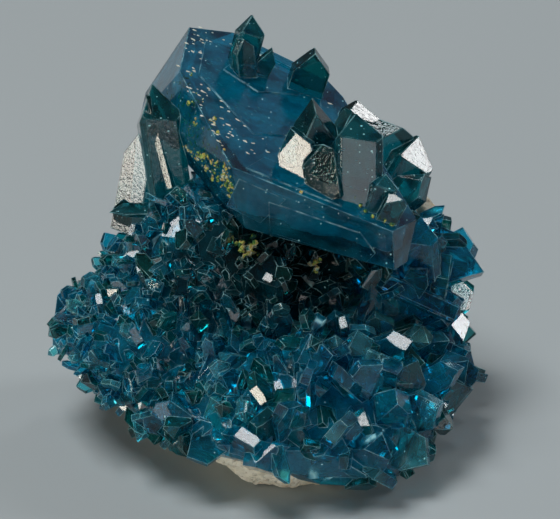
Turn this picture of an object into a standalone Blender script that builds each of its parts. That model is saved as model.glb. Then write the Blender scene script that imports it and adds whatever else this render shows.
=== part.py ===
"""A hand-sized specimen of blue-green tabular crystals on a piece of pale host rock.

Three pieces: the broken rock, the crust of small intergrown crystals on its front and
top, and one large tabular crystal, with smaller ones grown on it, that lies on both.
Sizes below are in millimetres. +Z is up, and -Y is the side that is shown.
"""
import math
import random

import bmesh
import bpy
from mathutils import Euler, Matrix, Vector, noise

MM = 0.001

# The middle of the whole specimen, seen from above, which is brought to the origin.
SPECIMEN_MIDDLE = (0.02, -1.54, 0.0)

# Between two pieces that touch.
SEAM = 0.3

# The rock: rounded lobes round a common middle, broken off below, behind and at the sides.
ROCK_MIDDLE = (0.0, 1.0, 9.0)
ROCK_LOBES = {
    "body": ((2.0, -3.0, 4.5), (16.5, 15.0, 7.5)),
    "left_arm": ((-11.5, -1.0, 9.8), (7.0, 7.5, 5.2)),
    "left_shoulder": ((-5.5, 4.0, 13.0), (8.5, 9.0, 10.0)),
    "saddle": ((2.0, 5.0, 10.5), (9.0, 7.0, 8.5)),
    "right_shoulder": ((9.0, 6.0, 9.5), (8.5, 8.5, 7.5)),
    "knob": ((13.5, 8.0, 17.0), (4.5, 4.0, 5.5)),
}
ROCK_BREAKS = {
    "floor": ((0.0, 0.0, 0.0), (0.0, 0.0, -1.0)),
    "back": ((0.0, 12.5, 8.0), (0.05, 1.0, 0.22)),
    "back_left": ((-12.0, 9.5, 12.0), (-0.75, 1.0, 0.1)),
    "under_left": ((-5.2, -7.6, 0.0), (-0.60, -0.35, -0.72)),
    "under_right": ((11.8, -8.0, 0.0), (0.80, -0.20, -0.55)),
}
ROCK_SUBDIVISIONS = 4
ROCK_ROUGHNESS = 0.9
ROCK_GRAIN = 4.5
ROCK_FRACTAL = {"fall": 1.0, "step": 2.2, "octaves": 3}

# The crust: a continuous skin with crystals standing on it, up to these edges.
CRUST_SKIN = 1.0
CRUST_EDGES = {
    "back": ((0.0, 7.0, 10.0), (0.0, 1.0, 0.05)),
    "foot": ((0.0, 0.0, 2.6), (-0.12, 0.0, -1.0)),
    "front_foot": ((-3.0, -18.0, 5.0), (-0.25, -0.6, -0.75)),
    "knob": ((14.5, 5.5, 18.5), (0.3, 0.3, 0.9)),
}
# No crystal of the crust reaches beyond these.
CRUST_LIMITS = {
    "floor": ((0.0, 0.0, 0.4), (0.0, 0.0, -1.0)),
    "front": ((0.0, -16.8, 1.2), (0.12, -0.42, -0.91)),
    "under_left": ((-7.0, -9.0, -1.2), (-0.60, -0.35, -0.72)),
    "under_right": ((13.6, -8.5, -1.2), (0.80, -0.20, -0.55)),
    "left": ((-21.2, 0.0, 8.0), (-1.0, 0.0, 0.0)),
    "right": ((20.4, 0.0, 8.0), (1.0, 0.0, 0.0)),
}
# Its ordinary crystals are fine at the upper left and coarse at the lower right: how far
# towards coarse they are is COARSE_START at the level COARSE_LEVEL, and changes by
# COARSE_RIGHTWARDS and COARSE_UPWARDS for each millimetre.
EDGE_MARGIN = 0.8
CRYSTAL_TRIES = 5000
CRYSTAL_SEED = 8
CRYSTAL_SPACING = 0.95
LEAST_LEAN = 9.0
LARGEST_LEAN = 45.0
LOWEST_POINTING = -0.25
FINE_CRYSTAL = 2.2
COARSE_CRYSTAL = 4.0
SIZE_SPREAD = 0.2
COARSE_START = 0.75
COARSE_LEVEL = 7.0
COARSE_RIGHTWARDS = 0.03
COARSE_UPWARDS = -0.07

# The large crystal's own frame: +Z is the normal of its broad face, +X runs along its
# front edge. The corners of the broad face go round anticlockwise from the front left.
TABLET_PLACE = (2.3, 3.2, 29.2)
TABLET_TURN = (5.5, 20.0, -9.0)
TABLET_CORNERS = (
    (-4.1, -10.0), (12.3, -10.0), (14.1, -6.2), (3.4, 10.9),
    (0.8, 13.4), (-9.3, 14.8), (-13.5, 12.4), (-12.4, 3.2),
)
TABLET_RIM_SLOPES = (-8.0, 16.0, 0.0, -8.0, -20.0, 0.0, 13.0, 2.0)
TABLET_THICKNESS = 6.2
TABLET_TAPER = 8.0
TABLET_REACH = 40.0
TABLET_CORNER_CUT = ((-4.1, -10.0, 0.0), (-0.68, -0.64, -0.45))

# Habits: the faces of a crystal that is 1 wide on X, 1 thick on Y and 1 long on Z, each
# with its direction and its distance from the root.
HABITS = {
    "tablet": (
        ((1, 0, 0), 0.5), ((-1, 0, 0), 0.5), ((0, 1, 0), 0.5), ((0, -1, 0), 0.5),
        ((0.62, 0, 0.78), 0.86), ((-0.80, 0, 0.60), 0.72),
        ((0.30, 0.86, 0.42), 0.80), ((-0.35, -0.82, 0.45), 0.82),
    ),
    "blade": (
        ((1, 0, 0), 0.5), ((-1, 0, 0), 0.5), ((0, 1, 0), 0.5), ((0, -1, 0), 0.5),
        ((0.52, 0.10, 0.85), 0.93), ((-0.72, 0, 0.70), 0.86),
        ((0.55, 0.84, 0.10), 0.60), ((-0.55, -0.84, 0.10), 0.60),
    ),
    "block": (
        ((1, 0, 0), 0.5), ((-1, 0, 0), 0.5), ((0, 1, 0), 0.5), ((0, -1, 0), 0.5),
        ((0.10, -0.34, 0.93), 0.94), ((0.70, 0.30, 0.64), 0.83), ((-0.66, 0.10, 0.74), 0.90),
        ((0.72, -0.69, 0), 0.60), ((-0.66, -0.75, 0), 0.62),
    ),
    "wedge": (
        ((1, 0, 0), 0.5), ((-1, 0, 0), 0.5), ((0, 1, 0.25), 0.55), ((0, -1, 0.30), 0.57),
        ((0.45, 0.45, 0.77), 0.86), ((-0.50, -0.30, 0.81), 0.90),
    ),
    "peak": (
        ((1, 0, 0), 0.5), ((-1, 0, 0), 0.5), ((0, 1, 0), 0.5), ((0, -1, 0), 0.5),
        ((0.80, -0.15, 0.58), 0.66), ((-0.78, -0.20, 0.60), 0.68),
        ((0.1, 0.80, 0.60), 0.80), ((0.66, -0.75, 0), 0.60),
    ),
}
ROOT_DEPTH = 0.25

# Width, thickness and length against a crystal's size, by habit.
PROPORTIONS = {
    "tablet": (1.0, 0.38, 0.85),
    "blade": (0.7, 0.30, 1.0),
    "block": (0.7, 0.60, 0.8),
    "wedge": (0.85, 0.55, 0.75),
    "peak": (0.8, 0.50, 0.9),
}

# Crystals grown on the large one: habit, root, way it points, way it faces, and its
# width, thickness and length.
GROWN_ON_TABLET = (
    # On the broad face, towards its front.
    ("peak", (5.0, -1.0, 27.6), (-0.1, 0.1, 1.0), (0.1, -1.0, 0.2), (4.2, 3.0, 5.8)),
    ("tablet", (3.1, -3.2, 27.8), (-0.15, 0.3, 1.0), (-0.25, -0.85, 0.4), (3.4, 1.8, 4.0)),
    ("block", (8.6, -4.2, 26.0), (0.0, 0.25, 1.0), (0.1, -1.0, 0.3), (4.6, 2.6, 6.8)),
    ("wedge", (5.6, -4.6, 27.0), (-0.2, 0.2, 1.0), (-0.3, -0.9, 0.2), (3.4, 2.2, 3.8)),
    ("tablet", (7.4, 0.3, 27.0), (0.1, 0.2, 1.0), (0.4, -0.9, 0.0), (3.4, 2.2, 5.0)),
    ("block", (10.4, -5.4, 25.2), (0.3, 0.0, 1.0), (0.2, -1.0, 0.0), (2.4, 1.6, 3.0)),
    ("wedge", (11.4, -6.4, 24.8), (0.5, -0.2, 1.0), (0.0, -1.0, 0.0), (2.0, 1.4, 2.2)),
    # On the broad face, at its back edge.
    ("block", (-2.6, 12.6, 32.6), (0.25, 0.0, 1.0), (0.2, -1.0, 0.0), (2.6, 2.2, 4.6)),
    ("blade", (-2.2, 11.2, 32.2), (-0.1, -0.1, 1.0), (0.5, -0.8, 0.1), (2.0, 1.2, 3.6)),
    ("tablet", (-0.9, 12.0, 31.8), (0.5, 0.0, 1.0), (0.2, -1.0, 0.2), (1.7, 0.9, 2.8)),
    ("tablet", (3.6, 12.2, 30.2), (0.3, 0.0, 1.0), (0.1, -1.0, 0.2), (3.6, 2.2, 3.8)),
    # Down its right side.
    ("block", (8.4, 9.5, 25.6), (0.2, 0.1, 1.0), (0.2, -1.0, 0.1), (4.0, 3.2, 3.6)),
    ("wedge", (10.8, 7.5, 23.6), (0.3, 0.0, 1.0), (0.3, -1.0, 0.2), (4.4, 3.4, 4.6)),
    ("block", (11.8, 6.0, 21.2), (0.55, 0.0, 1.0), (0.3, -1.0, 0.3), (4.2, 3.6, 6.0)),
    ("tablet", (12.2, 3.8, 21.6), (0.75, 0.0, 0.6), (-0.2, -0.7, 0.7), (3.2, 2.2, 4.0)),
    # On its left end.
    ("block", (-9.8, 5.6, 22.5), (-0.12, 0.15, 1.0), (0.15, -1.0, 0.2), (4.2, 4.2, 9.0)),
    ("wedge", (-12.2, 6.2, 19.8), (0.05, 0.15, 1.0), (-0.75, -0.65, 0.0), (4.2, 3.8, 8.4)),
    ("tablet", (-9.6, 4.8, 20.2), (-1.0, 0.0, 0.0), (0.1, -0.2, 1.0), (4.6, 1.8, 5.0)),
)

# Crystals of the crust that stand out from the rest, given in the same way.
STANDING_IN_CRUST = (
    # At the right: the dark blade, one below it, a beam and an upright prism.
    ("tablet", (14.4, 3.0, 17.6), (0.9, -0.2, -0.38), (0.3, -0.8, 0.5), (5.0, 2.4, 6.5)),
    ("blade", (14.8, 0.2, 12.8), (1.0, -0.1, -0.05), (0.0, -0.7, 0.7), (2.4, 1.8, 3.9)),
    ("block", (16.6, -2.6, 13.4), (-0.87, -0.05, 0.46), (0.3, -0.8, 0.5), (1.8, 1.4, 7.2)),
    ("block", (15.2, -0.4, 13.6), (-0.1, 0.0, 1.0), (-0.1, -1.0, 0.0), (4.0, 3.0, 7.6)),
    ("block", (16.0, -6.0, 7.0), (0.6, -0.45, 0.55), (0.3, -0.8, 0.4), (3.6, 2.8, 4.0)),
    # In the hollow under the large crystal.
    ("block", (-0.6, -3.6, 13.8), (0.1, -0.3, 1.0), (-0.2, -1.0, 0.1), (4.2, 3.0, 5.6)),
    ("blade", (4.1, -0.6, 13.4), (0.05, 0.0, 1.0), (0.5, -0.9, 0.0), (1.8, 1.4, 4.6)),
    ("blade", (10.0, -3.4, 11.8), (0.0, 0.0, 1.0), (0.3, -0.9, 0.0), (1.7, 1.4, 4.0)),
    # Over the front.
    ("tablet", (-5.3, -13.0, 8.0), (0.0, 0.25, 1.0), (-0.1, -0.9, 0.4), (3.0, 1.3, 4.6)),
    ("tablet", (3.0, -14.8, 7.4), (0.2, -0.9, 0.5), (0.0, -0.5, 0.87), (4.2, 1.5, 3.6)),
    ("tablet", (6.2, -14.8, 6.4), (0.5, -0.75, 0.45), (-0.1, -0.55, 0.85), (4.4, 1.7, 4.0)),
    ("block", (4.3, -11.2, 9.4), (0.0, -0.25, 1.0), (0.1, -1.0, 0.2), (3.8, 3.0, 4.6)),
    ("block", (8.5, -10.6, 9.4), (0.1, -0.3, 1.0), (0.3, -0.9, 0.3), (2.6, 2.2, 3.6)),
    ("block", (-7.4, -12.6, 6.8), (-0.35, -0.7, 0.3), (-0.2, -0.6, 0.8), (3.6, 2.6, 3.6)),
    ("tablet", (9.4, -13.6, 5.8), (0.3, -0.8, 0.3), (0.3, -0.4, 0.8), (4.0, 1.6, 3.8)),
    ("block", (12.2, -10.8, 6.4), (0.5, -0.8, 0.2), (0.2, -0.3, 0.9), (3.8, 2.6, 3.2)),
    ("block", (-1.5, -16.4, 6.0), (0.0, -0.8, 0.35), (0.1, -0.5, 0.85), (3.8, 2.6, 3.4)),
    ("tablet", (1.2, -16.6, 5.6), (-0.3, -0.8, 0.25), (0.0, -0.3, 0.9), (3.4, 1.6, 2.6)),
    ("block", (7.8, -15.6, 4.1), (0.3, -0.7, 0.1), (0.2, -0.6, 0.75), (3.4, 2.6, 2.9)),
    ("wedge", (10.6, -13.4, 3.8), (0.5, -0.7, 0.15), (0.2, -0.5, 0.85), (3.6, 2.6, 2.8)),
    ("block", (-5.6, -14.6, 6.4), (-0.3, -0.8, 0.3), (-0.1, -0.5, 0.85), (3.2, 2.2, 2.6)),
    # On the left arm.
    ("block", (-15.6, -2.9, 9.6), (-0.8, -0.45, 0.3), (-0.3, -0.6, 0.7), (4.2, 3.2, 4.0)),
    ("tablet", (-14.4, -4.5, 7.8), (-0.6, -0.7, 0.1), (-0.3, -0.3, 0.9), (4.0, 2.0, 3.6)),
    ("wedge", (-16.6, 0.4, 11.0), (-0.95, -0.1, 0.3), (-0.2, -0.5, 0.85), (3.8, 2.4, 4.0)),
)

GLASS_COLOUR = (0.004, 0.14, 0.19, 1.0)
CRUST_COLOUR = (0.003, 0.11, 0.15, 1.0)
ROCK_COLOUR = (0.60, 0.55, 0.44, 1.0)


def clear_scene():
    """Starts from an empty scene."""
    for obj in list(bpy.data.objects):
        bpy.data.objects.remove(obj)


def make_material(name, colour, roughness, transmission):
    """A Principled material with plain values."""
    material = bpy.data.materials.new(name)
    material.use_nodes = True
    shader = material.node_tree.nodes["Principled BSDF"]
    shader.inputs["Base Color"].default_value = colour
    shader.inputs["Roughness"].default_value = roughness
    shader.inputs["Metallic"].default_value = 0.0
    shader.inputs["Transmission Weight"].default_value = transmission
    return material


def link_mesh(name, bm):
    """Makes an object of a bmesh, which is freed."""
    mesh = bpy.data.meshes.new(name)
    bm.to_mesh(mesh)
    bm.free()
    obj = bpy.data.objects.new(name, mesh)
    obj.location = -Vector(SPECIMEN_MIDDLE) * MM
    bpy.context.scene.collection.objects.link(obj)
    return obj


def cut_away(bm, point, normal):
    """Cuts off what lies beyond a plane, and closes the cut."""
    everything = bm.verts[:] + bm.edges[:] + bm.faces[:]
    cut = bmesh.ops.bisect_plane(
        bm, geom=everything, plane_co=point, plane_no=normal, clear_outer=True, dist=1e-7
    )
    rim = [item for item in cut["geom_cut"] if isinstance(item, bmesh.types.BMEdge)]
    if rim:
        bmesh.ops.holes_fill(bm, edges=rim, sides=0)


def convex_solid(planes, reach):
    """The part of a cube of half side reach that lies behind every (point, normal) plane."""
    bm = bmesh.new()
    bmesh.ops.create_cube(bm, size=2 * reach * MM)
    for point, normal in planes:
        cut_away(bm, point * MM, normal)
    bmesh.ops.recalc_face_normals(bm, faces=bm.faces)
    return bm


def rock_reach(direction):
    """How far the lobes reach from the rock's middle in a direction."""
    reach = 0.0
    for centre, radii in ROCK_LOBES.values():
        start = Vector((ROCK_MIDDLE[i] - centre[i]) / radii[i] for i in range(3))
        step = Vector(direction[i] / radii[i] for i in range(3))
        a = step.dot(step)
        b = start.dot(step)
        c = start.dot(start) - 1.0
        if b * b - a * c > 0:
            reach = max(reach, (-b + math.sqrt(b * b - a * c)) / a)
    return reach


def rock_mesh(grow=0.0):
    """The rock, with its whole surface moved out by grow."""
    bm = bmesh.new()
    bmesh.ops.create_icosphere(bm, subdivisions=ROCK_SUBDIVISIONS, radius=1.0)
    middle = Vector(ROCK_MIDDLE)
    for vert in bm.verts:
        direction = vert.co.normalized()
        spot = middle + direction * rock_reach(direction)
        lump = noise.fractal(spot / ROCK_GRAIN, *ROCK_FRACTAL.values()) * ROCK_ROUGHNESS
        vert.co = (spot + direction * (lump + grow)) * MM
    for point, normal in ROCK_BREAKS.values():
        outward = Vector(normal).normalized()
        cut_away(bm, (Vector(point) + outward * grow) * MM, outward)
    bmesh.ops.recalc_face_normals(bm, faces=bm.faces)
    return bm


def crystal_matrix(root, axis, facing):
    """Stands a crystal on its root, with its length along axis and its broad face to facing."""
    along = Vector(axis).normalized()
    side = along.cross(Vector(facing)).normalized()
    front = side.cross(along)
    turn = Matrix((side, -front, along)).transposed()
    return Matrix.Translation(Vector(root) * MM) @ turn.to_4x4()


def crystal_mesh(habit, root, axis, facing, size, grow=0.0):
    """One crystal: size is its width, thickness and length, and grow moves its faces out."""
    planes = []
    for normal, distance in HABITS[habit]:
        unit = Vector(normal).normalized()
        spot = Vector(unit[i] * distance * size[i] for i in range(3))
        way = Vector(unit[i] / size[i] for i in range(3)).normalized()
        planes.append((spot + way * grow, way))
    planes.append((Vector((0, 0, -ROOT_DEPTH * size[2] - grow)), Vector((0, 0, -1))))
    bm = convex_solid(planes, 2 * max(size))
    bm.transform(crystal_matrix(root, axis, facing))
    return bm


def tablet_mesh(grow=0.0):
    """The large crystal alone, with its faces moved out by grow."""
    planes = [(Vector((0, 0, grow)), Vector((0, 0, 1)))]
    taper = math.radians(TABLET_TAPER)
    below = Vector((math.sin(taper), 0, -math.cos(taper)))
    planes.append((Vector((0, 0, -TABLET_THICKNESS)) + below * grow, below))
    for index, slope in enumerate(TABLET_RIM_SLOPES):
        start = Vector((*TABLET_CORNERS[index], 0))
        end = Vector((*TABLET_CORNERS[(index + 1) % len(TABLET_CORNERS)], 0))
        outward = (end - start).cross(Vector((0, 0, 1))).normalized()
        lean = math.radians(slope)
        normal = outward * math.cos(lean) + Vector((0, 0, math.sin(lean)))
        planes.append((start + normal * grow, normal))
    point, normal = TABLET_CORNER_CUT
    facing = Vector(normal).normalized()
    planes.append((Vector(point) + facing * grow, facing))
    bm = convex_solid(planes, TABLET_REACH)
    turn = Euler([math.radians(angle) for angle in TABLET_TURN]).to_matrix().to_4x4()
    bm.transform(Matrix.Translation(Vector(TABLET_PLACE) * MM) @ turn)
    return bm


def skin_mesh():
    """The continuous part of the crust, with the rock still inside it."""
    bm = rock_mesh(SEAM + CRUST_SKIN)
    for point, normal in CRUST_EDGES.values():
        cut_away(bm, Vector(point) * MM, Vector(normal).normalized())
    bmesh.ops.recalc_face_normals(bm, faces=bm.faces)
    return bm


def beyond(bm, point, normal):
    """Whether any corner of a mesh lies beyond a plane."""
    return any((vert.co / MM - point).dot(normal) > 0 for vert in bm.verts)


def spot_on(face, rng):
    """A random spot on a triangle, in millimetres."""
    low, high = sorted((rng.random(), rng.random()))
    first, second, third = (loop.vert.co / MM for loop in face.loops)
    return first * low + second * (high - low) + third * (1.0 - high)


def past_edge(spot):
    """Whether a spot on the rock is bare, or too near the crust's edge for a crystal."""
    return any(
        (spot - Vector(point)).dot(Vector(normal)) > -EDGE_MARGIN
        for point, normal in CRUST_EDGES.values()
    )


def crystal_size(spot):
    """How large crystals grow there: fine at the upper left, coarse at the lower right."""
    rise = spot.z - COARSE_LEVEL
    coarse = COARSE_START + COARSE_RIGHTWARDS * spot.x + COARSE_UPWARDS * rise
    return FINE_CRYSTAL + min(1.0, max(0.0, coarse)) * (COARSE_CRYSTAL - FINE_CRYSTAL)


def random_stance(normal, rng):
    """Which way a crystal on a surface points and faces."""
    across = normal.orthogonal().normalized()
    other = normal.cross(across)
    heading = rng.uniform(0, 2 * math.pi)
    roll = rng.uniform(0, 2 * math.pi)
    lean = math.tan(math.radians(rng.uniform(LEAST_LEAN, LARGEST_LEAN)))
    axis = normal + (across * math.cos(heading) + other * math.sin(heading)) * lean
    axis.z = max(axis.z, LOWEST_POINTING)
    return axis, across * math.cos(roll) + other * math.sin(roll)


def scattered_crystals():
    """The crust's ordinary crystals, spread over the rock where there is room."""
    rng = random.Random(CRYSTAL_SEED)
    rock = rock_mesh()
    bmesh.ops.triangulate(rock, faces=rock.faces)
    faces = list(rock.faces)
    areas = [face.calc_area() for face in faces]
    roots = []
    crystals = []
    for face in rng.choices(faces, areas, k=CRYSTAL_TRIES):
        spot = spot_on(face, rng)
        root = spot + face.normal * (SEAM + 0.5 * CRUST_SKIN)
        size = crystal_size(spot)
        crowded = any((root - other).length < CRYSTAL_SPACING * size for other in roots)
        if crowded or past_edge(spot):
            continue
        habit = rng.choice(list(PROPORTIONS))
        axis, facing = random_stance(face.normal, rng)
        scale = size * rng.uniform(1.0 - SIZE_SPREAD, 1.0 + SIZE_SPREAD)
        dims = [part * scale for part in PROPORTIONS[habit]]
        crystal = crystal_mesh(habit, root, axis, facing, dims)
        if any(beyond(crystal, Vector(p), Vector(n)) for p, n in CRUST_LIMITS.values()):
            crystal.free()
            continue
        roots.append(root)
        crystals.append(crystal)
    rock.free()
    return crystals


def keep_largest(mesh):
    """Drops the loose chips that a cut leaves."""
    bm = bmesh.new()
    bm.from_mesh(mesh)
    unseen = set(bm.verts)
    bodies = []
    while unseen:
        body = set()
        edge = [unseen.pop()]
        while edge:
            vert = edge.pop()
            body.add(vert)
            near = {link.other_vert(vert) for link in vert.link_edges} & unseen
            unseen -= near
            edge.extend(near)
        bodies.append(body)
    bodies.sort(key=len)
    bmesh.ops.delete(bm, geom=[vert for body in bodies[:-1] for vert in body], context="VERTS")
    bm.to_mesh(mesh)
    bm.free()


def add_boolean(obj, operation, meshes):
    """Joins closed meshes to an object, or cuts them from it, and returns the helper objects."""
    group = bpy.data.collections.new(f"{obj.name}_{operation.lower()}")
    helpers = [link_mesh(f"{group.name}_{index}", bm) for index, bm in enumerate(meshes)]
    for helper in helpers:
        group.objects.link(helper)
    modifier = obj.modifiers.new(group.name, "BOOLEAN")
    modifier.operation = operation
    modifier.operand_type = "COLLECTION"
    modifier.collection = group
    return helpers


def fuse(name, parts, cutters):
    """Joins closed meshes in one solid, less the cutters, and returns the object."""
    obj = link_mesh(name, parts[0])
    helpers = []
    if parts[1:]:
        helpers += add_boolean(obj, "UNION", parts[1:])
    if cutters:
        helpers += add_boolean(obj, "DIFFERENCE", cutters)
    graph = bpy.context.evaluated_depsgraph_get()
    mesh = bpy.data.meshes.new_from_object(obj.evaluated_get(graph))
    keep_largest(mesh)
    for modifier in list(obj.modifiers):
        bpy.data.collections.remove(modifier.collection)
    obj.modifiers.clear()
    obj.data = mesh
    for helper in helpers:
        bpy.data.objects.remove(helper)
    return obj


def room_for_tablet():
    """The space that the other pieces leave for the large crystal and what grows on it."""
    return [tablet_mesh(SEAM)] + [crystal_mesh(*row, grow=SEAM) for row in GROWN_ON_TABLET]


def main():
    clear_scene()
    glass = make_material("teal_crystal", GLASS_COLOUR, 0.08, 0.9)
    dark_glass = make_material("dark_teal_crystal", CRUST_COLOUR, 0.1, 0.9)
    stone = make_material("pale_rock", ROCK_COLOUR, 0.9, 0.0)

    rock = fuse("host_rock", [rock_mesh()], room_for_tablet())
    rock.data.materials.append(stone)

    tablet_parts = [tablet_mesh()] + [crystal_mesh(*row) for row in GROWN_ON_TABLET]
    tablet = fuse("large_crystal", tablet_parts, [])
    tablet.data.materials.append(glass)

    crust_parts = [skin_mesh()]
    crust_parts += [crystal_mesh(*row) for row in STANDING_IN_CRUST]
    crust_parts += scattered_crystals()
    crust = fuse("druse_crust", crust_parts, [rock_mesh(SEAM)] + room_for_tablet())
    crust.data.materials.append(dark_glass)


main()
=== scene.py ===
"""The looks of a hand-sized specimen: dark teal crystals, clear and glassy, on pale rock.

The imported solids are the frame. The rock is a copy of its solid with a crumbly surface, the
crust is a copy of its solid with several hundred smaller crystals grown on it, and the large
crystal is cut anew from the same faces with fine worn edges, growth steps and a dusting of
crumbs. Lengths are in millimetres until a mesh is made.
"""
import math
import random

import bpy
from mathutils import Euler, Matrix, Vector
from mathutils.bvhtree import BVHTree


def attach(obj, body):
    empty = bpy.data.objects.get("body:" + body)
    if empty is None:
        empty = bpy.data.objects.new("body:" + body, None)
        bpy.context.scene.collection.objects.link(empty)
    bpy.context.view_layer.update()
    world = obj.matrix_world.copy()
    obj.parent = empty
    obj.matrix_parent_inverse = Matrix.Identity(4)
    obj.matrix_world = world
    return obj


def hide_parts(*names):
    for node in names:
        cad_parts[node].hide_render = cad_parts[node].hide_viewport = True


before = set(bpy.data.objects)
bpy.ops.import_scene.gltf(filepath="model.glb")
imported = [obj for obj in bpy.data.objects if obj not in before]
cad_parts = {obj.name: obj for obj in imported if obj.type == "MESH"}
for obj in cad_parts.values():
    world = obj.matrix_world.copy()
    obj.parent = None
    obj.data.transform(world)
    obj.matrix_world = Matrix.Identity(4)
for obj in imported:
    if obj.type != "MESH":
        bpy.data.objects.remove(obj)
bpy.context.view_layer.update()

MM = 0.001

# The middle of the whole specimen, seen from above, which lies at the origin.
SPECIMEN_MIDDLE = Vector((0.02, -1.54, 0.0))

# The photograph's viewpoint: a long lens, 25 degrees above the table.
CAMERA_AT = Vector((1.2, -275.3, 145.7))
CAMERA_TARGET = Vector((1.2, 6.6, 14.2))
CAMERA_LENS = 200.0
CAMERA_SENSOR = 36.0


# --- helpers ---


def deselect():
    """Clears the selection in object mode."""
    if bpy.context.object and bpy.context.object.mode != "OBJECT":
        bpy.ops.object.mode_set(mode="OBJECT")
    bpy.ops.object.select_all(action="DESELECT")


def take(obj):
    """Makes an object the only selected one, and the active one."""
    deselect()
    obj.select_set(True)
    bpy.context.view_layer.objects.active = obj


def edit_all(obj):
    """Goes into edit mode with everything selected."""
    take(obj)
    bpy.ops.object.mode_set(mode="EDIT")
    bpy.ops.mesh.select_mode(type="VERT")
    bpy.ops.mesh.select_all(action="SELECT")


def leave_edit():
    bpy.ops.object.mode_set(mode="OBJECT")


def apply_modifiers(obj):
    take(obj)
    for modifier in list(obj.modifiers):
        bpy.ops.object.modifier_apply(modifier=modifier.name)


def copy_of(source, name):
    """A copy of an object with its own mesh."""
    obj = source.copy()
    obj.data = source.data.copy()
    obj.name = name
    obj.data.name = name
    bpy.context.scene.collection.objects.link(obj)
    return obj


def merged_copy(node, name):
    """A CAD node's shape as one closed mesh with whole flat faces."""
    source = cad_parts[node]
    mesh = source.data.copy()
    mesh.name = name
    mesh.materials.clear()
    obj = bpy.data.objects.new(name, mesh)
    bpy.context.scene.collection.objects.link(obj)
    edit_all(obj)
    bpy.ops.mesh.remove_doubles(threshold=1e-6)
    bpy.ops.mesh.normals_make_consistent(inside=False)
    leave_edit()
    return obj


def remove(objects):
    for obj in objects:
        bpy.data.objects.remove(obj)


def settle(obj, matrix):
    """Puts an object's place into its mesh."""
    obj.data.transform(matrix)
    obj.matrix_world = Matrix.Identity(4)


def join_solids(obj, others, operation="UNION"):
    """Joins closed shapes to an object in one solid, or cuts them from it."""
    group = bpy.data.collections.new("joining")
    for other in others:
        group.objects.link(other)
    modifier = obj.modifiers.new("join", "BOOLEAN")
    modifier.operation = operation
    modifier.operand_type = "COLLECTION"
    modifier.collection = group
    modifier.solver = "MANIFOLD"
    apply_modifiers(obj)
    bpy.data.collections.remove(group)
    remove(others)


# --- crystals ---

# Habits: the faces of a crystal that is 1 wide on X, 1 thick on Y and 1 long on Z, each
# with its direction and its distance from the root.
HABITS = {
    "tablet": (
        ((1, 0, 0), 0.5), ((-1, 0, 0), 0.5), ((0, 1, 0), 0.5), ((0, -1, 0), 0.5),
        ((0.62, 0, 0.78), 0.86), ((-0.80, 0, 0.60), 0.72),
        ((0.30, 0.86, 0.42), 0.80), ((-0.35, -0.82, 0.45), 0.82),
    ),
    "blade": (
        ((1, 0, 0), 0.5), ((-1, 0, 0), 0.5), ((0, 1, 0), 0.5), ((0, -1, 0), 0.5),
        ((0.52, 0.10, 0.85), 0.93), ((-0.72, 0, 0.70), 0.86),
        ((0.55, 0.84, 0.10), 0.60), ((-0.55, -0.84, 0.10), 0.60),
    ),
    "block": (
        ((1, 0, 0), 0.5), ((-1, 0, 0), 0.5), ((0, 1, 0), 0.5), ((0, -1, 0), 0.5),
        ((0.10, -0.34, 0.93), 0.94), ((0.70, 0.30, 0.64), 0.83), ((-0.66, 0.10, 0.74), 0.90),
        ((0.72, -0.69, 0), 0.60), ((-0.66, -0.75, 0), 0.62),
    ),
    "wedge": (
        ((1, 0, 0), 0.5), ((-1, 0, 0), 0.5), ((0, 1, 0.25), 0.55), ((0, -1, 0.30), 0.57),
        ((0.45, 0.45, 0.77), 0.86), ((-0.50, -0.30, 0.81), 0.90),
    ),
    "peak": (
        ((1, 0, 0), 0.5), ((-1, 0, 0), 0.5), ((0, 1, 0), 0.5), ((0, -1, 0), 0.5),
        ((0.80, -0.15, 0.58), 0.66), ((-0.78, -0.20, 0.60), 0.68),
        ((0.1, 0.80, 0.60), 0.80), ((0.66, -0.75, 0), 0.60),
    ),
}
ROOT_DEPTH = 0.25

# Width, thickness and length against a crystal's size, by habit.
PROPORTIONS = {
    "tablet": (1.0, 0.38, 0.85),
    "blade": (0.7, 0.30, 1.0),
    "block": (0.7, 0.60, 0.8),
    "wedge": (0.85, 0.55, 0.75),
    "peak": (0.8, 0.50, 0.9),
}


def cut_flat(point, normal):
    """Saws the mesh in edit mode along a plane and keeps what is behind it."""
    bpy.ops.mesh.select_all(action="SELECT")
    bpy.ops.mesh.bisect(
        plane_co=point, plane_no=normal, use_fill=True, clear_outer=True, threshold=1e-7
    )


def cut_solid(name, reach, planes, worn):
    """A cube sawn along every (point, normal) plane, with its edges worn."""
    deselect()
    bpy.ops.mesh.primitive_cube_add(size=2 * reach)
    obj = bpy.context.object
    obj.name = name
    edit_all(obj)
    for point, normal in planes:
        cut_flat(point, normal)
    bpy.ops.mesh.select_all(action="SELECT")
    if worn:
        bpy.ops.mesh.bevel(offset=worn, segments=2, affect="EDGES", clamp_overlap=True)
        bpy.ops.mesh.select_all(action="SELECT")
    bpy.ops.mesh.normals_make_consistent(inside=False)
    leave_edit()
    return obj


def unit_crystal(habit):
    """A habit's crystal, 1 wide, 1 thick and 1 long, modelled once and then copied."""
    planes = []
    for normal, distance in HABITS[habit]:
        unit = Vector(normal).normalized()
        planes.append((unit * distance, unit))
    planes.append((Vector((0, 0, -ROOT_DEPTH)), Vector((0, 0, -1))))
    return cut_solid(f"unit_{habit}", 2.0, planes, 0.0)


def stance(root, axis, facing):
    """Stands a crystal on its root, its length along axis and its broad face to facing."""
    along = Vector(axis).normalized()
    side = along.cross(Vector(facing)).normalized()
    front = side.cross(along)
    turn = Matrix((side, -front, along)).transposed()
    return Matrix.Translation(root) @ turn.to_4x4()


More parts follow.
